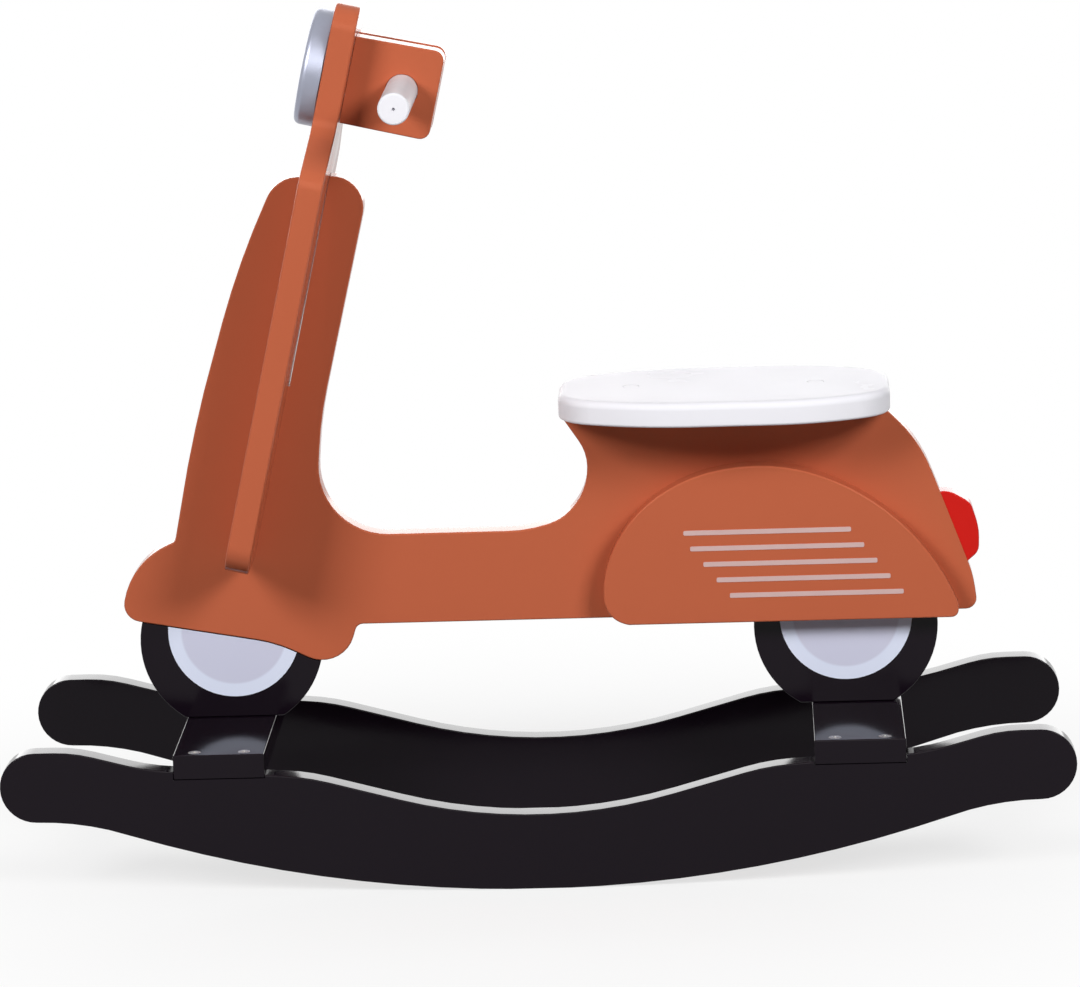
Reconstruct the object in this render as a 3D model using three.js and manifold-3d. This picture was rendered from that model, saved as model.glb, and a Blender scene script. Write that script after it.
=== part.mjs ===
// A child's rocking scooter cut from 18 mm boards: two rockers joined by crossboards, a profiled
// centre board on wheel boards, a leaning leg shield half-lapped through it, seat, cowls and grips.
// Millimetres, +Z up, nose towards -X, standing level on a short flat under each rocker.
import * as THREE from "three";
import { mergeVertices } from "three/addons/utils/BufferGeometryUtils.js";
import Module from "manifold-3d";

const wasm = await Module();
wasm.setup();

// Driving dimensions
const boardThick = 18;
const gap = 0.3;
const sagitta = 0.12;
const shieldLean = THREE.MathUtils.degToRad(13.31);

const rocker = {
  halfLength: 390.4,
  bottomRadius: 960,
  arcHalfLength: 300,
  endBottom: 58.4,
  endTop: 110.4,
  crest: [335.9, 110.4, 110],
  dip: [280.8, 95.35, 170],
  shelf: [167.5, 88.2, 170],
  valley: [0, 42.15, 376],
  outerFace: 121.5,
  restLength: 46,
};
const crossboard = { width: 66.3, bottom: 88.3, frontX: -230.2, rearX: 234.6, screwOffset: 18 };
const wheel = { radius: 67.9, front: [-227.8, 163.7], rear: [227.7, 165] };
const hub = { radius: 48.9, front: [-225.7, 171], rear: [227.8, 172.8], film: 0.3 };
const body = { underside: 174.7, footboard: 242.3, seatPlane: 328.5, columnTop: 510.2 };
const shield = {
  foot: [-207.78, 226.36],
  sideCorners: [
    [82, 0, 22],
    [82, 299, 20],
    [44, 329, 20],
    [44, 420, 18],
  ],
  lapHeight: 133,
  playAtTop: 0.3,
  playAtBottom: 0.9,
};
const headlight = { radius: 42.9, thick: 15.2, rim: 4.5, height: 367.1 };
const cheek = {
  inner: 4.5,
  depth: 65.9,
  low: 333.6,
  high: 398,
  rise: 1.6,
  cornerRadius: 7.5,
  screwHeights: [353, 385],
};
const handle = { radius: 11.5, halfLength: 122, behindHead: 40, height: 366, endRound: 1.6 };
const seat = {
  sideCorners: [
    [20.9, 42.9, 40],
    [81, 73.3, 174],
    [212.5, 73.3, 133],
    [263.6, 43.4, 38],
  ],
  edgeRound: 5,
};
const cowl = { bottom: 172.8, left: 50.1, top: 290.2, topX: 164.3, cornerRadius: 18 };
const stripe = {
  count: 5,
  height: 3.6,
  film: 0.3,
  length: 127.7,
  pitch: 11.9,
  step: 9.4,
  firstX: 105.2,
  firstShorter: 4.8,
  topZ: 241.2,
};
const crossScrew = { head: 9.4, shank: 4.6, length: 42 };
const wheelScrew = { head: 9.4, shank: 4.6, length: 50 };
const seatScrew = { head: 9, shank: 4.6, length: 42 };
const cheekScrew = { head: 7.6, shank: 3.6, length: 42 };
const seatCap = { radius: 5.8, thick: 3 };
const dowel = { radius: 4, length: 36 };
const cowlDowel = { radius: 5, length: 46 };
const discDowel = { radius: 4, length: 19 };
const lightDowel = { radius: 3, length: 20 };

// Paints and hardware
const paint = (color, roughness) => new THREE.MeshStandardMaterial({ color, roughness, metalness: 0 });
const metal = (color, roughness) => new THREE.MeshStandardMaterial({ color, roughness, metalness: 1 });
const terracotta = paint(0xb85f3e, 0.42);
const blackPaint = paint(0x1c191e, 0.4);
const whiteGloss = paint(0xf3f3f8, 0.25);
const hubFilm = paint(0xcfd0e2, 0.45);
const stripeFilm = paint(0xcbb0ad, 0.5);
const redPaint = paint(0xcc231c, 0.3);
const silverPaint = metal(0xb8bec6, 0.35);
const steel = metal(0xa9abb0, 0.35);
const beech = paint(0xc9a474, 0.7);

// A closed outline from corners [x, y, radius]: each radius becomes an arc tangent to both sides.
function outline(corners) {
  const points = [];
  corners.forEach(([x, y, radius], i) => {
    const corner = new THREE.Vector2(x, y);
    if (!radius) {
      points.push(corner);
      return;
    }
    const before = corners.at(i - 1);
    const after = corners[(i + 1) % corners.length];
    const back = new THREE.Vector2(before[0], before[1]).sub(corner).normalize();
    const ahead = new THREE.Vector2(after[0], after[1]).sub(corner).normalize();
    const half = back.angleTo(ahead) / 2;
    const turn = Math.PI - 2 * half;
    const sense = back.cross(ahead) < 0 ? 1 : -1;
    const middle = back.clone().add(ahead).normalize();
    const centre = corner.clone().addScaledVector(middle, radius / Math.sin(half));
    const start = corner.clone().addScaledVector(back, radius / Math.tan(half));
    const steps = Math.ceil(turn / (2 * Math.acos(1 - sagitta / radius)));
    for (let k = 0; k <= steps; k += 1) {
      points.push(start.clone().rotateAround(centre, (sense * turn * k) / steps));
    }
  });
  return points;
}

// A board standing in the XZ plane, with its middle plane at the given Y.
function board(points, thick, middleY) {
  const geometry = new THREE.ExtrudeGeometry(new THREE.Shape(points), { depth: thick, bevelEnabled: false });
  geometry.rotateX(Math.PI / 2);
  geometry.translate(0, middleY + thick / 2, 0);
  return geometry;
}

// A block between two corners.
function block(low, high) {
  const geometry = new THREE.BoxGeometry(high[0] - low[0], high[1] - low[1], high[2] - low[2]);
  geometry.translate((low[0] + high[0]) / 2, (low[1] + high[1]) / 2, (low[2] + high[2]) / 2);
  return geometry;
}

// Points +Z geometry along a direction and sets it at a place.
function aim(geometry, direction, place) {
  const upright = new THREE.Vector3(0, 0, 1);
  const target = new THREE.Vector3(...direction).normalize();
  const turned = new THREE.Quaternion().setFromUnitVectors(upright, target);
  geometry.applyQuaternion(turned);
  geometry.translate(...place);
  return geometry;
}

// A round pin centred on a place.
function pin(radius, length, direction, place, sides = 16) {
  const geometry = new THREE.CylinderGeometry(radius, radius, length, sides);
  geometry.rotateX(Math.PI / 2);
  return aim(geometry, direction, place);
}

// A countersunk screw whose head faces a direction and lies flush at a place. Extra widens and
// deepens it and carries it out past its head, to cut its own hole.
function screw(size, direction, place, extra = 0) {
  const shank = size.shank / 2 + extra;
  const head = size.head / 2 + extra;
  const cone = (size.head - size.shank) / 2;
  const mouth = extra > 0 ? 1 : 0;
  const profile = [
    new THREE.Vector2(0, -size.length - extra),
    new THREE.Vector2(shank, -size.length - extra),
    new THREE.Vector2(shank, -cone),
    new THREE.Vector2(head, 0),
    new THREE.Vector2(head, mouth),
    new THREE.Vector2(0, mouth),
  ];
  if (!mouth) profile.splice(4, 1);
  const geometry = new THREE.LatheGeometry(profile, 10);
  geometry.rotateX(Math.PI / 2);
  return aim(geometry, direction, place);
}

function toSolid(geometry) {
  const bare = geometry.clone();
  bare.deleteAttribute("normal");
  bare.deleteAttribute("uv");
  const merged = mergeVertices(bare, 1e-4);
  return new wasm.Manifold(
    new wasm.Mesh({
      numProp: 3,
      vertProperties: merged.attributes.position.array,
      triVerts: new Uint32Array(merged.index.array),
    }),
  );
}

function toGeometry(solid) {
  const mesh = solid.getMesh();
  const geometry = new THREE.BufferGeometry();
  geometry.setAttribute("position", new THREE.BufferAttribute(mesh.vertProperties, 3));
  geometry.setIndex(new THREE.BufferAttribute(mesh.triVerts, 1));
  const flat = geometry.toNonIndexed();
  flat.computeVertexNormals();
  return flat;
}

function cut(geometry, cutters) {
  const left = cutters.reduce((solid, cutter) => solid.subtract(toSolid(cutter)), toSolid(geometry));
  return toGeometry(left);
}

function keep(geometry, region) {
  return toGeometry(toSolid(geometry).intersect(toSolid(region)));
}

function add(parent, name, geometry, material) {
  const mesh = new THREE.Mesh(geometry, material);
  mesh.name = name;
  parent.add(mesh);
}

const sides = [
  ["left", -1],
  ["right", 1],
];
const ends = [
  {
    name: "front",
    crossX: crossboard.frontX,
    wheelCentre: wheel.front,
    hubCentre: hub.front,
    hubCeiling: body.footboard,
    dowelPlaces: [
      [-257, 0, 172],
      [-198, 0, 160],
    ],
  },
  {
    name: "rear",
    crossX: crossboard.rearX,
    wheelCentre: wheel.rear,
    hubCentre: hub.rear,
    hubCeiling: cowl.bottom - gap,
    dowelPlaces: [
      [198, 0, 175],
      [258, 0, 175],
    ],
  },
];
const down = [0, 0, -1];
const up = [0, 0, 1];
const across = [0, 1, 0];
const crossTop = crossboard.bottom + boardThick;
const rockerMiddle = rocker.outerFace - boardThick / 2;

// Rockers: one long arc below, turning up into round ends, with a wavy top edge
const arcAngle = Math.asin(rocker.arcHalfLength / rocker.bottomRadius);
const arcEndZ = rocker.bottomRadius * (1 - Math.cos(arcAngle));
const liftCorner = rocker.arcHalfLength + (rocker.endBottom - arcEndZ) / Math.tan(arcAngle);
const liftReach = Math.hypot(liftCorner - rocker.arcHalfLength, rocker.endBottom - arcEndZ);
const endRadius = (rocker.endTop - rocker.endBottom) / 2;
// Arcs that meet end to end stop just short, so that no two of their points coincide
const shortOf = (radius) => radius * 0.999;

function rockerOutline() {
  const rightHalf = [
    [liftCorner, rocker.endBottom, shortOf(liftReach / Math.tan(arcAngle / 2))],
    [rocker.halfLength, rocker.endBottom, shortOf(endRadius)],
    [rocker.halfLength, rocker.endTop, shortOf(endRadius)],
    rocker.crest,
    rocker.dip,
    rocker.shelf,
  ];
  const leftHalf = rightHalf.map(([x, z, radius]) => [-x, z, radius]).reverse();
  const bottomCorner = rocker.bottomRadius * (1 - 1 / Math.cos(arcAngle));
  const bottom = [0, bottomCorner, shortOf(rocker.bottomRadius)];
  return outline([bottom, ...rightHalf, rocker.valley, ...leftHalf]);
}

// The short flat that the scooter stands on, a quarter millimetre deep
const restDepth = rocker.bottomRadius - Math.sqrt(rocker.bottomRadius ** 2 - (rocker.restLength / 2) ** 2);

function restCutter(y) {
  const reach = rocker.restLength;
  return block([-reach, y - boardThick, -reach], [reach, y + boardThick, restDepth]);
}

function screwPair(x, y, z) {
  return [
    [x - crossboard.screwOffset, y, z],
    [x + crossboard.screwOffset, y, z],
  ];
}

function crossScrewPlaces(y) {
  return ends.flatMap(({ crossX }) => screwPair(crossX, y, crossTop));
}

function rockerBoard(y) {
  const half = crossboard.width / 2 + gap;
  const seats = ends.map(({ crossX }) =>
    block(
      [crossX - half, y - boardThick, crossboard.bottom - gap],
      [crossX + half, y + boardThick, crossTop + boardThick],
    ),
  );
  const holes = crossScrewPlaces(y).map((place) => screw(crossScrew, up, place, gap));
  return cut(board(rockerOutline(), boardThick, y), [...seats, ...holes, restCutter(y)]);
}

// Crossboards, screwed down into the rockers and up into the wheels
function wheelScrewPlaces(x) {
  return screwPair(x, 0, crossboard.bottom);
}

function crossboardPlank(x) {
  const half = crossboard.width / 2;
  const reach = rocker.outerFace;
  const plank = block([x - half, -reach, crossboard.bottom], [x + half, reach, crossTop]);
  const downHoles = sides
    .flatMap(([, side]) => crossScrewPlaces(side * rockerMiddle))
    .map((place) => screw(crossScrew, up, place, gap));
  const upHoles = wheelScrewPlaces(x).map((place) => screw(wheelScrew, down, place, gap));
  return cut(plank, [...downHoles, ...upHoles]);
}

// Shield plane: a point from its distance behind the rear face and its height along the board
const [footX, footZ] = shield.foot;
function onShield(behind, along) {
  return [
    footX + behind * Math.cos(shieldLean) + along * Math.sin(shieldLean),
    footZ - behind * Math.sin(shieldLean) + along * Math.cos(shieldLean),
  ];
}

function slotTopX(behind) {
  const along = (body.columnTop - footZ + behind * Math.sin(shieldLean)) / Math.cos(shieldLean);
  return onShield(behind, along)[0];
}

// Centre board: fender, underside, tail, seat post, footboard and steering column in one profile
function bodyOutline() {
  const slotFront = -boardThick - gap;
  const slotBottom = shield.lapHeight - gap / 2;
  return outline([
    [-266.4, 240.6, 4],
    [-299.8, 227.2, 58],
    [-309, 182.9, 13],
    [-195.1, 162.2, 100],
    [-145.8, 137.6, 24.5],
    [-134, body.underside, 6],
    [325.5, body.underside, 8],
    [322.5, 200, 80],
    [285, 302.2, 107],
    [258.7, body.seatPlane, 0],
    [21.6, body.seatPlane, 0],
    [40.3, 299.9, 34],
    [40.3, 270.4, 45],
    [19.6, 249.7, 36],
    [-5, body.footboard, 100],
    [-162, body.footboard, 50],
    [-154.5, 330.3, 300],
    [-110.3, body.columnTop, 23],
    [slotTopX(shield.playAtTop), body.columnTop, 0],
    [...onShield(shield.playAtBottom, slotBottom), 0],
    [...onShield(slotFront, slotBottom), 0],
    [slotTopX(slotFront), body.columnTop, 0],
    [-180, body.columnTop, 25],
    [-209.5, 449.8, 640],
    [-249, 325.5, 1100],
  ]);
}
const bodyBlank = board(bodyOutline(), boardThick, 0);
const thickBody = bodyBlank.clone().scale(1, 3, 1).translate(0, 0, -gap);

// Wheel boards: a disc cut flat on the crossboard and shaped to the centre board above
function wheelBlank([x, z], radius, thick, middleY) {
  const disc = pin(radius, thick, across, [x, middleY, z], 72);
  const floor = block([x - radius, -boardThick, 0], [x + radius, boardThick, crossTop + gap]);
  return cut(disc, [thickBody, floor]);
}

function dowelHoles(places) {
  return places.map((place) => pin(dowel.radius + gap, dowel.length + 2 * gap, up, place, 12));
}

function wheelBoard({ wheelCentre, crossX, dowelPlaces }) {
  const screwHoles = wheelScrewPlaces(crossX).map((place) => screw(wheelScrew, down, place, gap));
  const blank = wheelBlank(wheelCentre, wheel.radius, boardThick, 0);
  return cut(blank, [...dowelHoles(dowelPlaces), ...screwHoles]);
}

// Printed hub: a thin film on each face of the wheel
function hubDisc({ hubCentre, hubCeiling }, side) {
  const [x] = hubCentre;
  const middle = side * (boardThick / 2 + hub.film / 2);
  const disc = wheelBlank(hubCentre, hub.radius, hub.film, middle);
  const room = block([x - 2 * hub.radius, -boardThick, 0], [x + 2 * hub.radius, boardThick, hubCeiling]);
  return keep(disc, room);
}

// Cowl: a half-oval board on each side of the tail, on dowels that pass through the centre board
const cowlDowelPlaces = [
  [112, 0, 228],
  [252, 0, 214],
];

function cowlHoles() {
  const { radius, length } = cowlDowel;
  return cowlDowelPlaces.map((place) => pin(radius + gap, length + 2 * gap, across, place));
}

function cowlBoard(side) {
  const shape = new THREE.Shape();
  shape.moveTo(cowl.left + cowl.cornerRadius, cowl.bottom);
  shape.lineTo(304.5, cowl.bottom);
  shape.quadraticCurveTo(312, cowl.bottom, 310.4, 183);
  shape.bezierCurveTo(285.8, 247.7, 223.3, cowl.top, cowl.topX, cowl.top);
  shape.bezierCurveTo(85.6, cowl.top, 46.7, 232.8, cowl.left, cowl.bottom + cowl.cornerRadius);
  shape.quadraticCurveTo(cowl.left + 3, cowl.bottom + 3, cowl.left + cowl.cornerRadius, cowl.bottom);
  return cut(board(shape.getPoints(18), boardThick, side * boardThick), cowlHoles());
}

function stripeBar(index, side) {
  const start = stripe.firstX + stripe.step * index;
  const left = index === 0 ? start + stripe.firstShorter : start;
  const z = stripe.topZ - stripe.pitch * index;
  const half = stripe.height / 2;
  const right = start + stripe.length;
  const points = outline([
    [left, z - half, 1],
    [right, z - half, 1],
    [right, z + half, 1],
    [left, z + half, 1],
  ]);
  return board(points, stripe.film, side * (boardThick * 1.5 + stripe.film / 2));
}

// Seat: a flat board, broad in the middle and rounded off at both ends, with rounded edges
function seatPlan() {
  const rightSide = seat.sideCorners;
  const leftSide = rightSide.map(([x, y, radius]) => [x, -y, radius]).reverse();
  return new THREE.Shape(outline([...rightSide, ...leftSide]));
}
const seatTop = body.seatPlane + gap + boardThick;
const capPlaces = [
  [74.2, 0, seatTop],
  [209.7, 0, seatTop],
];
const seatScrewZ = seatTop - seatCap.thick - 2 * gap;

function seatBoard() {
  const round = seat.edgeRound;
  const geometry = new THREE.ExtrudeGeometry(seatPlan(), {
    depth: boardThick - 2 * round,
    bevelThickness: round,
    bevelSize: round,
    bevelOffset: -round,
    bevelSegments: 3,
  });
  geometry.translate(0, 0, body.seatPlane + gap + round);
  const depth = seatTop - seatScrewZ;
  const recesses = capPlaces.map(([x, y]) => pin(seatCap.radius + gap, 2 * depth, up, [x, y, seatTop], 20));
  const holes = capPlaces.map(([x, y]) => screw(seatScrew, up, [x, y, seatScrewZ], gap));
  return cut(geometry, [...recesses, ...holes]);
}

// Tail light: a small D-shaped board on dowels in the tail's rear edge
const tailTop = [299.8, 263.9];
const tailBottom = [319.15, 211.2];
const tailEdge = new THREE.Vector2(tailTop[0] - tailBottom[0], tailTop[1] - tailBottom[1]).normalize();
const tailOut = [tailEdge.y, 0, -tailEdge.x];
const tailDowelPlaces = [0.28, 0.72].map((share) => [
  THREE.MathUtils.lerp(tailBottom[0], tailTop[0], share),
  0,
  THREE.MathUtils.lerp(tailBottom[1], tailTop[1], share),
]);

function tailHoles() {
  return tailDowelPlaces.map((place) =>
    pin(lightDowel.radius + gap, lightDowel.length + 2 * gap, tailOut, place, 12),
  );
}

function tailLight() {
  const shift = gap * 1.2;
  const points = outline([
    [tailBottom[0] + shift, tailBottom[1], 0],
    [326.9, 218.2, 10],
    [327.3, 235.2, 40],
    [321.5, 254.7, 10],
    [307.2, 263.5, 20],
    [tailTop[0] + shift, tailTop[1], 0],
  ]);
  return cut(board(points, boardThick - 1, 0), tailHoles());
}

function centreBoard() {
  const wheelHoles = ends.flatMap(({ dowelPlaces }) => dowelHoles(dowelPlaces));
  const seatHoles = capPlaces.map(([x, y]) => screw(seatScrew, up, [x, y, seatScrewZ], gap));
  return cut(bodyBlank, [...wheelHoles, ...cowlHoles(), ...seatHoles, ...tailHoles()]);
}

// The parts below are drawn upright on the shield's rear face: X behind it, Z along it
const cheekScrewPlaces = sides.flatMap(([name, side]) =>
  cheek.screwHeights.map((z, i) => ({
    name: `${name}_cheek_screw_${i + 1}`,
    place: [-boardThick, side * (cheek.inner + boardThick / 2), z],
  })),
);
const forward = [-1, 0, 0];
const discDowelPlace = [-boardThick - gap / 2, 0, headlight.height];

function discDowelHole() {
  return pin(discDowel.radius + gap, discDowel.length + 2 * gap, forward, discDowelPlace);
}

function legShield() {
  const slotHalf = boardThick / 2 + gap;
  const slotTop = shield.lapHeight + gap / 2;
  const rightHalf = [[slotHalf, slotTop, 0], [slotHalf, 0, 0], ...shield.sideCorners];
  const leftHalf = rightHalf.map(([y, z, radius]) => [-y, z, radius]).reverse();
  const points = outline([...rightHalf, ...leftHalf]);
  const geometry = board(points, boardThick, 0);
  geometry.rotateZ(Math.PI / 2);
  geometry.translate(-boardThick / 2, 0, 0);
  const screwHoles = cheekScrewPlaces.map(({ place }) => screw(cheekScrew, forward, place, gap));
  return cut(geometry, [discDowelHole(), ...screwHoles]);
}

function headlightDisc() {
  const { radius, thick, rim, height } = headlight;
  const profile = new THREE.Path();
  profile.moveTo(0, 0);
  profile.lineTo(radius, 0);
  profile.lineTo(radius, thick - rim);
  profile.absarc(radius - rim, thick - rim, rim, 0, Math.PI / 2, false);
  profile.lineTo(0, thick);
  const geometry = new THREE.LatheGeometry(profile.getPoints(4), 48);
  geometry.rotateX(Math.PI / 2);
  aim(geometry, forward, [-boardThick - gap, 0, height]);
  return cut(geometry, [discDowelHole()]);
}

function cheekPlate(side) {
  const points = outline([
    [gap, cheek.low, 0],
    [cheek.depth, cheek.low, cheek.cornerRadius],
    [cheek.depth, cheek.high + cheek.rise, cheek.cornerRadius],
    [gap, cheek.high, 0],
  ]);
  const holes = cheekScrewPlaces.map(({ place }) => screw(cheekScrew, forward, place, gap));
  const gripPlace = [handle.behindHead, 0, handle.height];
  const grip = pin(handle.radius + gap, 4 * boardThick, across, gripPlace, 32);
  return cut(board(points, boardThick, side * (cheek.inner + boardThick / 2)), [grip, ...holes]);
}

function handleBar() {
  const { radius, halfLength, endRound } = handle;
  const profile = new THREE.Path();
  profile.moveTo(0, -halfLength);
  profile.lineTo(radius - endRound, -halfLength);
  profile.absarc(radius - endRound, -halfLength + endRound, endRound, -Math.PI / 2, 0, false);
  profile.absarc(radius - endRound, halfLength - endRound, endRound, 0, Math.PI / 2, false);
  profile.lineTo(0, halfLength);
  const geometry = new THREE.LatheGeometry(profile.getPoints(2), 28);
  geometry.translate(handle.behindHead, 0, handle.height);
  return geometry;
}

// Assembly
const scooter = new THREE.Group();

sides.forEach(([name, side]) => {
  const y = side * rockerMiddle;
  add(scooter, `${name}_rocker`, rockerBoard(y), blackPaint);
  crossScrewPlaces(y).forEach((place, i) => {
    add(scooter, `${name}_rocker_screw_${i + 1}`, screw(crossScrew, up, place), steel);
  });
  add(scooter, `${name}_cowl`, cowlBoard(side), terracotta);
  for (let i = 0; i < stripe.count; i += 1) {
    add(scooter, `${name}_cowl_stripe_${i + 1}`, stripeBar(i, side), stripeFilm);
  }
});

ends.forEach((end) => {
  const { name } = end;
  add(scooter, `${name}_crossboard`, crossboardPlank(end.crossX), blackPaint);
  add(scooter, `${name}_wheel`, wheelBoard(end), blackPaint);
  sides.forEach(([side, sign]) => add(scooter, `${name}_hub_${side}`, hubDisc(end, sign), hubFilm));
  end.dowelPlaces.forEach((place, i) => {
    add(scooter, `${name}_wheel_dowel_${i + 1}`, pin(dowel.radius, dowel.length, up, place, 12), beech);
  });
  wheelScrewPlaces(end.crossX).forEach((place, i) => {
    add(scooter, `${name}_wheel_screw_${i + 1}`, screw(wheelScrew, down, place), steel);
  });
});

add(scooter, "centre_board", centreBoard(), terracotta);
cowlDowelPlaces.forEach((place, i) => {
  add(scooter, `cowl_dowel_${i + 1}`, pin(cowlDowel.radius, cowlDowel.length, across, place, 16), beech);
});
add(scooter, "seat", seatBoard(), whiteGloss);
capPlaces.forEach(([x, y, z], i) => {
  add(scooter, `seat_screw_${i + 1}`, screw(seatScrew, up, [x, y, seatScrewZ]), steel);
  const cap = pin(seatCap.radius, seatCap.thick, up, [x, y, z - seatCap.thick / 2], 20);
  add(scooter, `seat_cap_${i + 1}`, cap, whiteGloss);
});
add(scooter, "tail_light", tailLight(), redPaint);
tailDowelPlaces.forEach((place, i) => {
  const peg = pin(lightDowel.radius, lightDowel.length, tailOut, place, 12);
  add(scooter, `tail_light_dowel_${i + 1}`, peg, beech);
});

const steering = new THREE.Group();
steering.position.set(footX, 0, footZ);
steering.rotation.y = shieldLean;
scooter.add(steering);
add(steering, "leg_shield", legShield(), terracotta);
add(steering, "headlight_disc", headlightDisc(), silverPaint);
const discPeg = pin(discDowel.radius, discDowel.length, forward, discDowelPlace);
add(steering, "headlight_dowel", discPeg, beech);
sides.forEach(([name, side]) => add(steering, `${name}_handlebar_cheek`, cheekPlate(side), terracotta));
cheekScrewPlaces.forEach(({ name, place }) => {
  add(steering, name, screw(cheekScrew, forward, place), steel);
});
add(steering, "handlebar_dowel", handleBar(), whiteGloss);

scooter.position.z = -restDepth;

const group = new THREE.Group();
group.add(scooter);
export default group;
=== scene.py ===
import math

import bmesh
import bpy
from mathutils import Matrix, Vector


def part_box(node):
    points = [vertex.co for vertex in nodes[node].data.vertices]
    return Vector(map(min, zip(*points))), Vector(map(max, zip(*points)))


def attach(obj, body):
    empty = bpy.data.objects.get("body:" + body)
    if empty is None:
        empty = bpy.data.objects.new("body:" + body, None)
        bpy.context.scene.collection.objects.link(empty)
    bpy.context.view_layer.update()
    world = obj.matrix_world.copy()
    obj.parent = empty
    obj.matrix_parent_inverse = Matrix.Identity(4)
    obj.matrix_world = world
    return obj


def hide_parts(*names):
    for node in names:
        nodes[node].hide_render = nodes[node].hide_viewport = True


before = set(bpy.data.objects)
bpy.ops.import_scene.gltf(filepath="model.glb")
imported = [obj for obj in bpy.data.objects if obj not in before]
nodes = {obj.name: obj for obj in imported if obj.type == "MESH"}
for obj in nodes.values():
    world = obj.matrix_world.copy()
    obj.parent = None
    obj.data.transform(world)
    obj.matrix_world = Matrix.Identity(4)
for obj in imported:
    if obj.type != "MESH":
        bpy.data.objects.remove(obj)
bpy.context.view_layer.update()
scene = bpy.context.scene
print("frame loaded:", len(nodes), "nodes")

# camera: a long lens nearly square to the toy's left side, looking a little down
cameraValues = {
    "place": (0.16965, -3.97499, 1.09738),
    "yaw": 2.377,  # degrees, as pitch and roll
    "pitch": 11.777,
    "roll": -1.973,
    "lens": 183.48,  # millimetres, as the sensor
    "sensor": 36,
    "farthest": 100,
}


def makeCamera():
    data = bpy.data.cameras.new("camera")
    data.lens = cameraValues["lens"]
    data.sensor_width = cameraValues["sensor"]
    data.sensor_fit = "HORIZONTAL"
    data.clip_end = cameraValues["farthest"]
    camera = bpy.data.objects.new("camera", data)
    turned = Matrix.Rotation(math.radians(cameraValues["yaw"]), 4, "Z")
    turned @= Matrix.Rotation(math.radians(90 - cameraValues["pitch"]), 4, "X")
    turned @= Matrix.Rotation(math.radians(cameraValues["roll"]), 4, "Z")
    camera.matrix_world = Matrix.Translation(cameraValues["place"]) @ turned
    scene.collection.objects.link(camera)
    scene.camera = camera


makeCamera()
scene.view_settings.view_transform = "Standard"

# soft boxes: level is the brightness of the lamp's face, where 1 is white
lampValues = {
    "leftBox": {"place": (-2.6, -2.99, 2.63), "size": (1.6, 1.4), "level": 20.1},
    "rightBox": {"place": (2.65, -2.95, 2.63), "size": (1.6, 1.4), "level": 20.5},
    "topBox": {"place": (0, 0.4, 2.8), "size": (2.2, 1.6), "level": 0.15},
    "backScreen": {"place": (0, 3.2, 0.95), "size": (5.0, 1.7), "level": 2.4},
    "frontCard": {"place": (0, -4.3, 2.1), "size": (1.0, 2.1), "level": 4.4},
}
glintLamps = ("frontCard",)  # mirrored in the gloss paint, without lighting it
lampTarget = Vector((0, 0, 0.3))


def makeLamp(name, values):
    width, height = values["size"]
    data = bpy.data.lights.new(name, "AREA")
    data.shape = "RECTANGLE"
    data.size = width
    data.size_y = height
    data.energy = values["level"] * math.pi * width * height
    lamp = bpy.data.objects.new(name, data)
    lamp.location = values["place"]
    lamp.rotation_euler = (lampTarget - lamp.location).to_track_quat("-Z", "Y").to_euler()
    lamp.visible_camera = False
    lamp.visible_diffuse = name not in glintLamps
    scene.collection.objects.link(lamp)


for lampName, lampDetail in lampValues.items():
    makeLamp(lampName, lampDetail)

# the world's strength as light on the toy, and as the background that is seen
worldValues = {"ambient": 0.012, "seen": 1.0}


def seenByEye(tree):
    # 1 for the rays that show a background: camera, glossy and transmission
    path = tree.nodes.new("ShaderNodeLightPath")
    first = tree.nodes.new("ShaderNodeMath")
    first.operation = "MAXIMUM"
    second = tree.nodes.new("ShaderNodeMath")
    second.operation = "MAXIMUM"
    tree.links.new(path.outputs["Is Camera Ray"], first.inputs[0])
    tree.links.new(path.outputs["Is Glossy Ray"], first.inputs[1])
    tree.links.new(first.outputs[0], second.inputs[0])
    tree.links.new(path.outputs["Is Transmission Ray"], second.inputs[1])
    return second.outputs[0]


def makeWorld():
    world = bpy.data.worlds.new("white_studio")
    world.use_nodes = True
    tree = world.node_tree
    background = tree.nodes["Background"]
    span = tree.nodes.new("ShaderNodeMapRange")
    span.inputs["To Min"].default_value = worldValues["ambient"]
    span.inputs["To Max"].default_value = worldValues["seen"]
    tree.links.new(seenByEye(tree), span.inputs["Value"])
    tree.links.new(span.outputs["Result"], background.inputs["Strength"])
    background.inputs["Color"].default_value = (1, 1, 1, 1)
    scene.world = world


makeWorld()

floorValues = {
    "radius": 9.0,
    "segments": 96,
    "bounce": 0.28,  # the tone that throws light back up on the toy
    "shade": 0.25,  # the seen tone, which takes the toy's shadow
    "lift": 0.704,  # added to the seen tone
    "fadeFrom": 0.12,  # metres from the middle, where the floor starts to turn white
    "fadeTo": 0.74,
}


def addDiffuse(tree, tone):
    shader = tree.nodes.new("ShaderNodeBsdfDiffuse")
    shader.inputs["Color"].default_value = (tone, tone, tone, 1)
    return shader.outputs[0]


def addGlow(tree, strength):
    shader = tree.nodes.new("ShaderNodeEmission")
    shader.inputs["Strength"].default_value = strength
    return shader.outputs[0]


def mixShaders(tree, share, first, second):
    mix = tree.nodes.new("ShaderNodeMixShader")
    tree.links.new(share, mix.inputs["Fac"])
    tree.links.new(first, mix.inputs[1])
    tree.links.new(second, mix.inputs[2])
    return mix.outputs[0]


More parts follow.
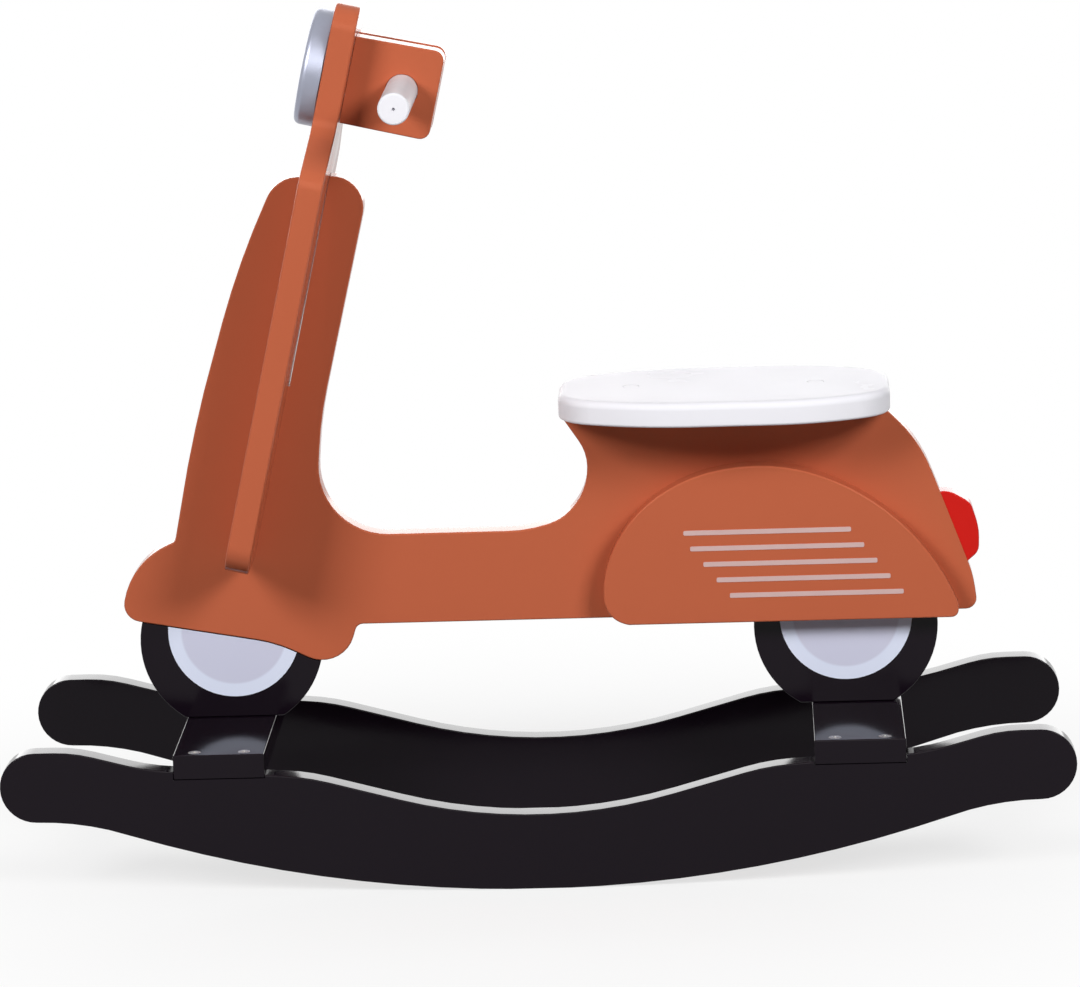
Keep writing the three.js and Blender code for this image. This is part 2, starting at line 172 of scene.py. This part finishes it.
def floorMaterial():
    # near the toy a tone that takes shadow, farther out plain white
    material = bpy.data.materials.new("studio_floor")
    material.use_nodes = True
    tree = material.node_tree
    tree.nodes.clear()
    near = tree.nodes.new("ShaderNodeAddShader")
    tree.links.new(addDiffuse(tree, floorValues["shade"]), near.inputs[0])
    tree.links.new(addGlow(tree, floorValues["lift"]), near.inputs[1])
    coords = tree.nodes.new("ShaderNodeTexCoord")
    length = tree.nodes.new("ShaderNodeVectorMath")
    length.operation = "LENGTH"
    tree.links.new(coords.outputs["Object"], length.inputs[0])
    fade = tree.nodes.new("ShaderNodeMapRange")
    fade.interpolation_type = "SMOOTHSTEP"
    fade.inputs["From Min"].default_value = floorValues["fadeFrom"]
    fade.inputs["From Max"].default_value = floorValues["fadeTo"]
    tree.links.new(length.outputs["Value"], fade.inputs["Value"])
    seen = mixShaders(tree, fade.outputs["Result"], near.outputs[0], addGlow(tree, 1))
    whole = mixShaders(tree, seenByEye(tree), addDiffuse(tree, floorValues["bounce"]), seen)
    output = tree.nodes.new("ShaderNodeOutputMaterial")
    tree.links.new(whole, output.inputs["Surface"])
    return material


def makeFloor():
    bm = bmesh.new()
    bmesh.ops.create_circle(
        bm, cap_ends=True, segments=floorValues["segments"], radius=floorValues["radius"]
    )
    mesh = bpy.data.meshes.new("floor")
    bm.to_mesh(mesh)
    bm.free()
    mesh.materials.append(floorMaterial())
    floor = bpy.data.objects.new("floor", mesh)
    scene.collection.objects.link(floor)


makeFloor()
print("camera, lamps and floor done")


# finishes
def linearColor(red, green, blue):
    # from the 0 to 255 of a colour picker, by the sRGB curve
    def toLinear(value):
        share = value / 255
        return share / 12.92 if share <= 0.04045 else ((share + 0.055) / 1.055) ** 2.4

    return (toLinear(red), toLinear(green), toLinear(blue), 1)


def addNoise(tree, scale, detail, stretch=None):
    coords = tree.nodes.new("ShaderNodeTexCoord")
    noise = tree.nodes.new("ShaderNodeTexNoise")
    noise.inputs["Scale"].default_value = scale
    noise.inputs["Detail"].default_value = detail
    source = coords.outputs["Object"]
    if stretch:
        mapping = tree.nodes.new("ShaderNodeMapping")
        mapping.inputs["Scale"].default_value = stretch
        tree.links.new(source, mapping.inputs["Vector"])
        source = mapping.outputs["Vector"]
    tree.links.new(source, noise.inputs["Vector"])
    return noise.outputs["Fac"]


def mapTo(tree, source, low, high, fromLow=0.3, fromHigh=0.7):
    # noise keeps mostly between the two default limits
    span = tree.nodes.new("ShaderNodeMapRange")
    span.inputs["From Min"].default_value = fromLow
    span.inputs["From Max"].default_value = fromHigh
    span.inputs["To Min"].default_value = low
    span.inputs["To Max"].default_value = high
    tree.links.new(source, span.inputs["Value"])
    return span.outputs["Result"]


def addTone(tree, shader, source, first, second):
    # the mix node names its sockets alike for numbers and colours, so a number picks the colour's
    mix = tree.nodes.new("ShaderNodeMix")
    mix.data_type = "RGBA"
    mix.inputs[6].default_value = linearColor(*first)
    mix.inputs[7].default_value = linearColor(*second)
    tree.links.new(source, mix.inputs[0])
    tree.links.new(mix.outputs[2], shader.inputs["Base Color"])


def addGloss(tree, shader, noise, roughness):
    tree.links.new(mapTo(tree, noise, *roughness), shader.inputs["Roughness"])


def addBump(tree, source, depth, strength, under=None):
    bump = tree.nodes.new("ShaderNodeBump")
    bump.inputs["Strength"].default_value = strength
    bump.inputs["Distance"].default_value = depth
    tree.links.new(source, bump.inputs["Height"])
    if under:
        tree.links.new(under, bump.inputs["Normal"])
    return bump.outputs["Normal"]


def startMaterial(name):
    material = bpy.data.materials.new(name)
    material.use_nodes = True
    tree = material.node_tree
    return material, tree, tree.nodes["Principled BSDF"]


# a noise is a scale and a detail; glint is the colour of the paint's reflections
paintValues = {
    "terracotta": {
        "color": (189, 99, 68),
        "second": (185, 96, 66),
        "roughness": (0.15, 0.22),
        "ior": 1.3,
        "glint": (0.5, 0.25, 0.18),
    },
    "black": {
        "color": (21, 13, 22),
        "second": (18, 11, 19),
        "roughness": (0.1, 0.14),
        "ior": 1.22,
        "glint": (1, 1, 1),
    },
    "white": {
        "color": (239, 238, 243),
        "second": (236, 235, 241),
        "roughness": (0.2, 0.28),
        "ior": 1.06,
        "glint": (1, 1, 1),
    },
    "red": {
        "color": (206, 34, 28),
        "second": (200, 30, 25),
        "roughness": (0.16, 0.22),
        "ior": 1.3,
        "glint": (0.5, 0.2, 0.2),
    },
    "patchNoise": (9, 2),
    "glossNoise": (24, 4),
    "waveNoise": (38, 2),
    "waveDepth": 0.00012,
    "waveStrength": 0.3,
    "peelNoise": (420, 2),
    "peelDepth": 0.00003,
    "peelStrength": 0.4,
}


def paintMaterial(name):
    # sprayed lacquer on sanded board: slow patches of tone, orange peel and a faint wave
    values = paintValues[name]
    material, tree, shader = startMaterial(name + "_lacquer")
    patches = addNoise(tree, *paintValues["patchNoise"])
    addTone(tree, shader, patches, values["color"], values["second"])
    addGloss(tree, shader, addNoise(tree, *paintValues["glossNoise"]), values["roughness"])
    shader.inputs["IOR"].default_value = values["ior"]
    shader.inputs["Specular Tint"].default_value = values["glint"] + (1,)
    waves = addNoise(tree, *paintValues["waveNoise"])
    wavy = addBump(tree, waves, paintValues["waveDepth"], paintValues["waveStrength"])
    pores = addNoise(tree, *paintValues["peelNoise"])
    peel = addBump(tree, pores, paintValues["peelDepth"], paintValues["peelStrength"], wavy)
    tree.links.new(peel, shader.inputs["Normal"])
    return material


metalValues = {
    "silver": {"color": (158, 161, 176), "roughness": (0.36, 0.44)},
    "steel": {"color": (186, 184, 180), "roughness": (0.2, 0.38)},
    "darker": 0.93,
    "toneNoise": (60, 2),
    "glossNoise": (140, 3),
    "flakeNoise": (1600, 2),
    "flakeDepth": 0.00002,
    "flakeStrength": 0.35,
}


def metalMaterial(name):
    values = metalValues[name]
    material, tree, shader = startMaterial(name + "_finish")
    darker = [round(part * metalValues["darker"]) for part in values["color"]]
    addTone(tree, shader, addNoise(tree, *metalValues["toneNoise"]), values["color"], darker)
    addGloss(tree, shader, addNoise(tree, *metalValues["glossNoise"]), values["roughness"])
    shader.inputs["Metallic"].default_value = 1
    flakes = addNoise(tree, *metalValues["flakeNoise"])
    rough = addBump(tree, flakes, metalValues["flakeDepth"], metalValues["flakeStrength"])
    tree.links.new(rough, shader.inputs["Normal"])
    return material


stripeValues = {
    "color": (200, 168, 164),
    "second": (208, 176, 172),
    "roughness": 0.45,
    "ior": 1.38,
    "toneNoise": (90, 3),
    "grainNoise": (900, 2),
    "grainDepth": 0.00002,
    "grainStrength": 0.3,
}


def stripeMaterial():
    material, tree, shader = startMaterial("stripe_print")
    patches = addNoise(tree, *stripeValues["toneNoise"])
    addTone(tree, shader, patches, stripeValues["color"], stripeValues["second"])
    shader.inputs["Roughness"].default_value = stripeValues["roughness"]
    shader.inputs["IOR"].default_value = stripeValues["ior"]
    specks = addNoise(tree, *stripeValues["grainNoise"])
    grain = addBump(tree, specks, stripeValues["grainDepth"], stripeValues["grainStrength"])
    tree.links.new(grain, shader.inputs["Normal"])
    return material


# front and rear are the way from each wheel's printed centre to the scene's middle
hubValues = {
    "disc": (202, 203, 223),
    "ring": (219, 225, 244),
    "discRadius": 0.039,
    "softness": 0.0009,
    "front": (0.2257, 0, -0.1707),
    "rear": (-0.2278, 0, -0.1725),
    "roughness": (0.34, 0.42),
    "glossNoise": (40, 2),
    "ior": 1.38,
}


def hubMaterial(end):
    # printed hub: a darker disc inside a paler ring, by distance from the wheel's axle line
    material, tree, shader = startMaterial(end + "_hub_print")
    coords = tree.nodes.new("ShaderNodeTexCoord")
    centre = tree.nodes.new("ShaderNodeMapping")
    centre.inputs["Location"].default_value = hubValues[end]
    flat = tree.nodes.new("ShaderNodeVectorMath")
    flat.operation = "MULTIPLY"
    flat.inputs[1].default_value = (1, 0, 1)
    length = tree.nodes.new("ShaderNodeVectorMath")
    length.operation = "LENGTH"
    tree.links.new(coords.outputs["Object"], centre.inputs["Vector"])
    tree.links.new(centre.outputs["Vector"], flat.inputs[0])
    tree.links.new(flat.outputs["Vector"], length.inputs[0])
    low = hubValues["discRadius"] - hubValues["softness"]
    high = hubValues["discRadius"] + hubValues["softness"]
    mask = mapTo(tree, length.outputs["Value"], 0, 1, low, high)
    addTone(tree, shader, mask, hubValues["disc"], hubValues["ring"])
    addGloss(tree, shader, addNoise(tree, *hubValues["glossNoise"]), hubValues["roughness"])
    shader.inputs["IOR"].default_value = hubValues["ior"]
    return material


dowelValues = {
    "dark": (176, 134, 86),
    "color": (206, 168, 118),
    "grainNoise": (120, 5),
    "stretch": (0.06, 0.06, 1),
    "grainDepth": 0.0002,
    "grainStrength": 0.4,
    "roughness": 0.62,
}


def dowelMaterial():
    material, tree, shader = startMaterial("beech_dowel")
    fibres = addNoise(tree, *dowelValues["grainNoise"], dowelValues["stretch"])
    addTone(tree, shader, fibres, dowelValues["dark"], dowelValues["color"])
    shader.inputs["Roughness"].default_value = dowelValues["roughness"]
    grain = addBump(tree, fibres, dowelValues["grainDepth"], dowelValues["grainStrength"])
    tree.links.new(grain, shader.inputs["Normal"])
    return material


terracotta = paintMaterial("terracotta")
blackPaint = paintMaterial("black")
whiteGloss = paintMaterial("white")
redPaint = paintMaterial("red")
silverPaint = metalMaterial("silver")
steel = metalMaterial("steel")
stripeFilm = stripeMaterial()
beech = dowelMaterial()
print("finishes done")


# shared modelling steps; angles are in degrees, lengths in metres
boardValues = {
    "thick": 0.018,
    "facing": 0.9995,  # cosine, for a face that belongs to the flat side
    "sharp": 25,  # an edge that turns more is rounded
    "shading": 34,  # an edge that turns more is shaded sharp
    "smallHole": 0.014,  # wider holes stay open
    "weld": 0.00002,
    "near": 0.0001,  # this close counts as in one plane
    "shortest": 0.0004,  # shorter edges are merged away
    "flat": 0.4,
    "straight": 1,
}


def joinFlat(bm, degrees):
    # faces and edges that turn by less than this become one
    bmesh.ops.dissolve_limit(bm, angle_limit=math.radians(degrees), verts=bm.verts, edges=bm.edges)


def mergedCopy(node):
    bm = bmesh.new()
    bm.from_mesh(nodes[node].data)
    bmesh.ops.remove_doubles(bm, verts=bm.verts, dist=boardValues["weld"])
    joinFlat(bm, boardValues["flat"])
    return bm


def bevelEdges(bm, edges, width, segments=3):
    bmesh.ops.bevel(
        bm, geom=edges, offset=width, offset_type="OFFSET", segments=segments,
        profile=0.5, affect="EDGES", clamp_overlap=False, material=-1,
    )


def movedVerts(made):
    # the corners among what an extrude gives back
    return [part for part in made["geom"] if isinstance(part, bmesh.types.BMVert)]


def closeOpenings(bm):
    bmesh.ops.holes_fill(bm, edges=[edge for edge in bm.edges if edge.is_boundary], sides=0)


def finishPiece(bm, name, material, replaced):
    bmesh.ops.recalc_face_normals(bm, faces=bm.faces)
    for face in bm.faces:
        face.smooth = True
    mesh = bpy.data.meshes.new(name)
    bm.to_mesh(mesh)
    bm.free()
    mesh.set_sharp_from_angle(angle=math.radians(boardValues["shading"]))
    mesh.materials.append(material)
    piece = bpy.data.objects.new(name, mesh)
    scene.collection.objects.link(piece)
    weighted = piece.modifiers.new("weighted_normals", "WEIGHTED_NORMAL")
    weighted.keep_sharp = True
    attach(piece, "root")
    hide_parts(*replaced)
    return piece


def dressNode(node, material):
    # a node that keeps its frame mesh
    node.data.materials.clear()
    node.data.materials.append(material)


def openLoop(start):
    # the chain of tagged open edges that holds one edge; takes their tags off
    loop = [start]
    start.tag = False
    for edge in loop:
        for vert in edge.verts:
            for other in vert.link_edges:
                if other.tag:
                    other.tag = False
                    loop.append(other)
    return loop


def closeSmallHoles(bm):
    for edge in bm.edges:
        edge.tag = edge.is_boundary
    loops = [openLoop(edge) for edge in bm.edges if edge.tag]
    for loop in loops:
        points = [vert.co for edge in loop for vert in edge.verts]
        if max((point - points[0]).length for point in points) < boardValues["smallHole"]:
            bmesh.ops.holes_fill(bm, edges=loop, sides=0)


def sawnBoard(node, facing, thick):
    # the board's flat side from the frame, its small hidden holes closed, given its thickness again
    bm = mergedCopy(node)
    out = Vector(facing).normalized()
    level = max(vert.co.dot(out) for vert in bm.verts)

    def isSide(face):
        near = abs(face.calc_center_median().dot(out) - level) < boardValues["near"]
        return near and face.normal.dot(out) > boardValues["facing"]

    away = [face for face in bm.faces if not isSide(face)]
    bmesh.ops.delete(bm, geom=away, context="FACES")
    closeSmallHoles(bm)
    joinFlat(bm, boardValues["straight"])
    bmesh.ops.remove_doubles(bm, verts=bm.verts, dist=boardValues["shortest"])
    made = bmesh.ops.extrude_face_region(bm, geom=bm.faces[:])
    bmesh.ops.translate(bm, verts=movedVerts(made), vec=-out * thick)
    bmesh.ops.recalc_face_normals(bm, faces=bm.faces)
    return bm, out, level


def rimEdges(bm, out, levels):
    # edges that lie in one of the board's two flat sides and turn a corner
    def liesIn(edge, level):
        return all(abs(vert.co.dot(out) - level) < boardValues["near"] for vert in edge.verts)

    sharp = math.radians(boardValues["sharp"])
    found = [edge for edge in bm.edges if edge.is_manifold and edge.calc_face_angle() > sharp]
    return [edge for edge in found if any(liesIn(edge, level) for level in levels)]


def paintedBoard(
    node, facing, edge, material,
    tight=None, tightEdge=0, bothSides=True, thick=boardValues["thick"],
):
    # tight(point) is true where the edge meets another piece and is hardly rounded
    bm, out, level = sawnBoard(node, facing, thick)
    levels = [level, level - thick] if bothSides else [level]
    rims = rimEdges(bm, out, levels)
    snug = [rim for rim in rims if tight and tight((rim.verts[0].co + rim.verts[1].co) / 2)]
    free = [rim for rim in rims if rim not in snug]
    bevelEdges(bm, free, edge)
    rest = [rim for rim in snug if rim.is_valid]
    if rest and tightEdge:
        bevelEdges(bm, rest, tightEdge, 1)
    return finishPiece(bm, node + "_painted", material, [node])


def turnedBar(radius, length, segments):
    bm = bmesh.new()
    bmesh.ops.create_cone(
        bm, cap_ends=True, segments=segments, radius1=radius, radius2=radius, depth=length
    )
    return bm


def endFaces(bm, ways=(1, -1)):
    # a turned bar's flat ends: 1 is the upper one, -1 the lower one
    return [face for face in bm.faces if round(face.normal.z, 3) in ways]


def endEdges(bm, ways=(1, -1)):
    return [edge for face in endFaces(bm, ways) for edge in face.edges]


sideFacing = {"left": (0, -1, 0), "right": (0, 1, 0)}
ends = ("front", "rear")

# rockers and crossboards
rockerValues = {"edge": 0.0009, "seatEdge": 0.0004, "seatMargin": 0.0012}
seatSpans = []
for end in ends:
    crossLow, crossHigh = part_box(end + "_crossboard")
    seatSpans.append((crossLow.x, crossHigh.x, crossLow.z))


def inRockerSeat(point):
    # inside the notch that holds a crossboard
    margin = rockerValues["seatMargin"]
    return any(a - margin < point.x < b + margin and point.z > z - margin for a, b, z in seatSpans)


for side, facing in sideFacing.items():
    paintedBoard(
        side + "_rocker", facing, rockerValues["edge"], blackPaint,
        tight=inRockerSeat, tightEdge=rockerValues["seatEdge"],
    )

crossValues = {"edge": 0.0009}


def crossboardPiece(node):
    # keeps its countersunk holes; only the plank's outer arrises are eased
    bm = mergedCopy(node)
    limits = [(axis, corner[axis]) for axis in range(3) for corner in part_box(node)]

    def liesAt(edge, axis, limit):
        return all(abs(vert.co[axis] - limit) < boardValues["near"] for vert in edge.verts)

    def isArris(edge):
        # it lies in two of the plank's six sides
        return sum(liesAt(edge, axis, limit) for axis, limit in limits) > 1

    bevelEdges(bm, [edge for edge in bm.edges if isArris(edge)], crossValues["edge"])
    finishPiece(bm, node + "_painted", blackPaint, [node])


for end in ends:
    crossboardPiece(end + "_crossboard")
print("rockers and crossboards done")

# the half lap of column and shield, and the straight joint of tail and tail light
lapValues = {
    "lean": 13.31,  # degrees off upright
    "margin": 0.002,
    "from": 0.15,  # metres above the centre board's lowest point
}
tailJoint = {
    "foot": Vector((0.31915, 0, 0.21092)),  # a point on the joint's line
    "out": Vector((0.9387, 0, 0.3447)),  # square to it, away from the tail
    "near": 0.0009,
    "low": 0.2,
    "high": 0.275,
}
leanAngle = math.radians(lapValues["lean"])
shieldNormal = Vector((math.cos(leanAngle), 0, -math.sin(leanAngle)))
shieldRear = max(vert.co.dot(shieldNormal) for vert in nodes["leg_shield"].data.vertices)
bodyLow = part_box("centre_board")[0]
seatLow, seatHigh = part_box("seat")


def inLap(point):
    # inside the half lap between the column and the shield
    depth = point.dot(shieldNormal) - shieldRear
    margin = lapValues["margin"]
    return -boardValues["thick"] - margin < depth < margin and point.z > bodyLow.z + lapValues["from"]


def besideTailLight(point):
    offLine = (Vector((point.x, 0, point.z)) - tailJoint["foot"]).dot(tailJoint["out"])
    return abs(offLine) < tailJoint["near"] and tailJoint["low"] < point.z < tailJoint["high"]


# centre board, wheels, hubs
bodyValues = {"edge": 0.0012, "seatMargin": 0.0012}
wheelValues = {
    "edge": 0.0009,
    "centreZ": {"front": 0.1634, "rear": 0.1647},
    "rimMargin": 0.0008,
    "cutAbove": 0.12,  # the flat on the crossboard is lower
}


def bodyTight(point):
    underSeat = point.x > 0 and point.z > seatLow.z - bodyValues["seatMargin"]
    return inLap(point) or underSeat or besideTailLight(point)


paintedBoard(
    "centre_board", sideFacing["left"], bodyValues["edge"], terracotta,
    tight=bodyTight,
)


def wheelPiece(end):
    low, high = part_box(end + "_wheel")
    centreX = (low.x + high.x) / 2
    radius = (high.x - low.x) / 2
    centreZ = wheelValues["centreZ"][end]

    def onCut(point):
        # the cut along the centre board above: inside the wheel's circle
        away = math.hypot(point.x - centreX, point.z - centreZ)
        return away < radius - wheelValues["rimMargin"] and point.z > wheelValues["cutAbove"]

    paintedBoard(
        end + "_wheel", sideFacing["left"], wheelValues["edge"], blackPaint, tight=onCut
    )


for end in ends:
    wheelPiece(end)
    film = hubMaterial(end)
    for side in sideFacing:
        dressNode(nodes[end + "_hub_" + side], film)
print("centre board and wheels done")

# cowls and tail light
cowlValues = {"edge": 0.0013}
for side, facing in sideFacing.items():
    paintedBoard(
        side + "_cowl", facing, cowlValues["edge"], terracotta, bothSides=False
    )
tailValues = {"edge": 0.001, "thick": 0.017, "closeUp": 0.00103}
tailLight = paintedBoard(
    "tail_light", sideFacing["left"], tailValues["edge"], redPaint,
    tight=besideTailLight, thick=tailValues["thick"],
)
# the light's straight edge meets the tail
for corner in tailLight.data.vertices:
    if besideTailLight(corner.co):
        corner.co -= tailJoint["out"] * tailValues["closeUp"]
print("cowls and tail light done")

# leg shield, headlight and handlebar
shieldValues = {"edge": 0.0013, "slotEdge": 0.0004, "slotHalf": 0.0115, "slotTop": 0.37}


def inShieldSlot(point):
    return abs(point.y) < shieldValues["slotHalf"] and point.z < shieldValues["slotTop"]


paintedBoard(
    "leg_shield", shieldNormal, shieldValues["edge"], terracotta,
    tight=inShieldSlot, tightEdge=shieldValues["slotEdge"],
)
handleLow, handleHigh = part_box("handlebar_dowel")
handleCentre = (handleLow + handleHigh) / 2
handleRadius = (handleHigh.z - handleLow.z) / 2
cheekValues = {"edge": 0.001, "gripEdge": 0.0005, "gripMargin": 0.002, "headMargin": 0.001}


def cheekTight(point):
    # round the grip bar, and against the head
    away = math.hypot(point.x - handleCentre.x, point.z - handleCentre.z)
    atHead = point.dot(shieldNormal) < shieldRear + cheekValues["headMargin"]
    return away < handleRadius + cheekValues["gripMargin"] or atHead


for side, facing in sideFacing.items():
    paintedBoard(
        side + "_handlebar_cheek", facing, cheekValues["edge"], terracotta,
        tight=cheekTight, tightEdge=cheekValues["gripEdge"],
    )

handleValues = {
    "segments": 72,
    "endRound": 0.0016,
    "roundSteps": 5,
    "dimple": 0.0012,
    "dimpleWall": 0.0003,
    "dimpleDepth": 0.003,
}


def handlePiece():
    # turned bar with rounded ends and the lathe centre's dimple in each
    bm = turnedBar(handleRadius, handleHigh.y - handleLow.y, handleValues["segments"])
    bevelEdges(bm, endEdges(bm), handleValues["endRound"], handleValues["roundSteps"])
    faces = endFaces(bm)
    inset = handleRadius - handleValues["endRound"] - handleValues["dimple"]
    for step in (inset, handleValues["dimpleWall"]):
        bmesh.ops.inset_individual(bm, faces=faces, thickness=step)
    for face in faces:
        sink = -face.normal * handleValues["dimpleDepth"]
        bmesh.ops.translate(bm, verts=list(face.verts), vec=sink)
    place = Matrix.Translation(handleCentre) @ Matrix.Rotation(math.radians(90), 4, "X")
    bmesh.ops.transform(bm, matrix=place, verts=bm.verts)
    finishPiece(bm, "handlebar_turned", whiteGloss, ["handlebar_dowel"])


handlePiece()

discValues = {
    "radius": 0.0429,
    "thick": 0.0152,
    "rim": 0.0045,
    "rimSteps": 8,
    "backEdge": 0.0008,
    "backSteps": 2,
    "aheadOfGrip": 0.0583,
    "aboveGrip": 0.0011,
    "segments": 96,
}


def headlightPiece():
    # thick turned disc on the head, its front rim rounded
    bm = turnedBar(discValues["radius"], discValues["thick"], discValues["segments"])
    bevelEdges(bm, endEdges(bm, (1,)), discValues["rim"], discValues["rimSteps"])
    bevelEdges(bm, endEdges(bm, (-1,)), discValues["backEdge"], discValues["backSteps"])
    ahead = -shieldNormal
    upBoard = Vector((math.sin(leanAngle), 0, math.cos(leanAngle)))
    reach = discValues["aheadOfGrip"] + discValues["thick"] / 2
    middle = handleCentre + ahead * reach + upBoard * discValues["aboveGrip"]
    turned = Vector((0, 0, 1)).rotation_difference(ahead).to_matrix().to_4x4()
    bmesh.ops.transform(bm, matrix=Matrix.Translation(middle) @ turned, verts=bm.verts)
    finishPiece(bm, "headlight_turned", silverPaint, ["headlight_disc"])


headlightPiece()
print("shield, headlight and handlebar done")

# seat and its caps
seatValues = {
    "wallFrom": 0.005,
    "rimAngle": 60,
    "edge": 0.0056,
    "edgeSteps": 7,
    "lowerEdge": 0.0022,
    "lowerSteps": 4,
    "flatTop": 0.9999,  # upward faces past this are shaded flat
    "capGap": 0.0003,
    "capDepth": 0.0036,
}
capValues = {"segments": 48, "edge": 0.0004}
capNodes = ("seat_cap_1", "seat_cap_2")


def capRound(cap):
    # a cap's middle and radius
    low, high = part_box(cap)
    return (low + high) / 2, (high.x - low.x) / 2


def pocketRing(bm, cap, level):
    # the ring round one cap in the seat's top
    middle, radius = capRound(cap)
    place = Matrix.Translation((middle.x, middle.y, level))
    ring = bmesh.ops.create_circle(
        bm, segments=capValues["segments"], radius=radius + seatValues["capGap"], matrix=place
    )["verts"]
    return [edge for edge in bm.edges if edge.verts[0] in ring]


def seatPiece():
    bm = mergedCopy("seat")
    levels = (seatLow.z + seatValues["wallFrom"], seatHigh.z - seatValues["wallFrom"])

    def isWall(face):
        near = boardValues["near"]
        return all(min(abs(vert.co.z - level) for level in levels) < near for vert in face.verts)

    away = [face for face in bm.faces if not isWall(face)]
    bmesh.ops.delete(bm, geom=away, context="FACES")
    closeOpenings(bm)
    middle = (seatLow.z + seatHigh.z) / 2
    upper = [vert for vert in bm.verts if vert.co.z > middle]
    lower = [vert for vert in bm.verts if vert.co.z < middle]
    bmesh.ops.translate(bm, verts=upper, vec=(0, 0, seatValues["wallFrom"]))
    bmesh.ops.translate(bm, verts=lower, vec=(0, 0, -seatValues["wallFrom"]))
    bmesh.ops.recalc_face_normals(bm, faces=bm.faces)
    corner = math.radians(seatValues["rimAngle"])
    rims = [edge for edge in bm.edges if edge.calc_face_angle(0) > corner]
    above = [edge for edge in rims if edge.verts[0].co.z > middle]
    below = [edge for edge in rims if edge.verts[0].co.z < middle]
    bevelEdges(bm, above, seatValues["edge"], seatValues["edgeSteps"])
    bevelEdges(bm, below, seatValues["lowerEdge"], seatValues["lowerSteps"])
    top = max(bm.faces, key=lambda face: face.normal.z * face.calc_area())
    outline = list(top.edges)
    bmesh.ops.delete(bm, geom=[top], context="FACES_ONLY")
    pockets = [edge for cap in capNodes for edge in pocketRing(bm, cap, seatHigh.z)]
    bmesh.ops.triangle_fill(bm, use_beauty=True, edges=outline + pockets, normal=(0, 0, 1))
    sunk = bmesh.ops.extrude_edge_only(bm, edges=pockets)
    bmesh.ops.translate(bm, verts=movedVerts(sunk), vec=(0, 0, -seatValues["capDepth"]))
    closeOpenings(bm)
    piece = finishPiece(bm, "seat_painted", whiteGloss, ["seat"])
    for face in piece.data.polygons:
        face.use_smooth = face.normal.z < seatValues["flatTop"]


def capPiece(number, cap):
    low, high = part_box(cap)
    middle, radius = capRound(cap)
    bm = turnedBar(radius, high.z - low.z, capValues["segments"])
    bevelEdges(bm, endEdges(bm, (1,)), capValues["edge"])
    bmesh.ops.translate(bm, verts=bm.verts, vec=middle)
    finishPiece(bm, f"seat_cap_cover_{number}", whiteGloss, [cap])


seatPiece()
for number, cap in enumerate(capNodes, 1):
    capPiece(number, cap)
print("seat done")

# screws with a cross recess, down into the rockers and up into the wheels
screwValues = {
    "headRadius": 0.0047,
    "shankRadius": 0.0023,
    "chamfer": 0.0002,
    "tip": 0.004,
    "segments": 40,
    "crossArm": 0.0024,
    "crossHalf": 0.0006,
    "crossDepth": 0.0019,
    "crossTaper": 0.45,
}


def crossRecess(bm):
    # a tapered cross sunk in the head's open top
    rim = [edge for edge in bm.edges if edge.is_boundary]
    arm = screwValues["crossArm"]
    half = screwValues["crossHalf"]
    taper = screwValues["crossTaper"]
    verts = []
    for quarter in range(4):
        turned = Matrix.Rotation(math.radians(90 * quarter), 3, "Z")
        for corner in ((arm, -half, 0), (arm, half, 0), (half, half, 0)):
            verts.append(bm.verts.new(turned @ Vector(corner)))
    cross = [bm.edges.new(pair) for pair in zip(verts, verts[1:] + verts[:1])]
    bmesh.ops.triangle_fill(bm, use_beauty=True, edges=rim + cross, normal=(0, 0, 1))
    deep = movedVerts(bmesh.ops.extrude_edge_only(bm, edges=cross))
    bmesh.ops.scale(bm, verts=deep, vec=(taper, taper, 1))
    bmesh.ops.translate(bm, verts=deep, vec=(0, 0, -screwValues["crossDepth"]))
    closeOpenings(bm)


def screwPiece(node, headUp):
    low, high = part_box(node)
    length = high.z - low.z
    head = screwValues["headRadius"]
    shank = screwValues["shankRadius"]
    outline = [
        (head - screwValues["chamfer"], 0),
        (head, -screwValues["chamfer"]),
        (shank, shank - head),
        (shank, screwValues["tip"] - length),
        (0, -length),
    ]
    bm = bmesh.new()
    verts = [bm.verts.new((x, 0, z)) for x, z in outline]
    edges = [bm.edges.new(pair) for pair in zip(verts, verts[1:])]
    bmesh.ops.spin(
        bm, geom=verts + edges, cent=(0, 0, 0), axis=(0, 0, 1), angle=math.radians(360),
        steps=screwValues["segments"], use_merge=True,
    )
    bmesh.ops.remove_doubles(bm, verts=bm.verts, dist=boardValues["weld"])
    crossRecess(bm)
    middle = (low + high) / 2
    if headUp:
        place = Matrix.Translation((middle.x, middle.y, high.z))
    else:
        turned = Matrix.Rotation(math.radians(180), 4, "X")
        place = Matrix.Translation((middle.x, middle.y, low.z)) @ turned
    bmesh.ops.transform(bm, matrix=place, verts=bm.verts)
    finishPiece(bm, node + "_turned", steel, [node])


for side in sideFacing:
    for number in range(1, 5):
        screwPiece(f"{side}_rocker_screw_{number}", headUp=True)
for end in ends:
    for number in range(1, 3):
        screwPiece(f"{end}_wheel_screw_{number}", headUp=False)
print("screws done")

# the nodes that keep their frame mesh, by a word in their names
keptFinishes = {"stripe": stripeFilm, "dowel": beech, "screw": steel}
for nodeName, node in nodes.items():
    for word, material in keptFinishes.items():
        if word in nodeName and not node.hide_render:
            dressNode(node, material)
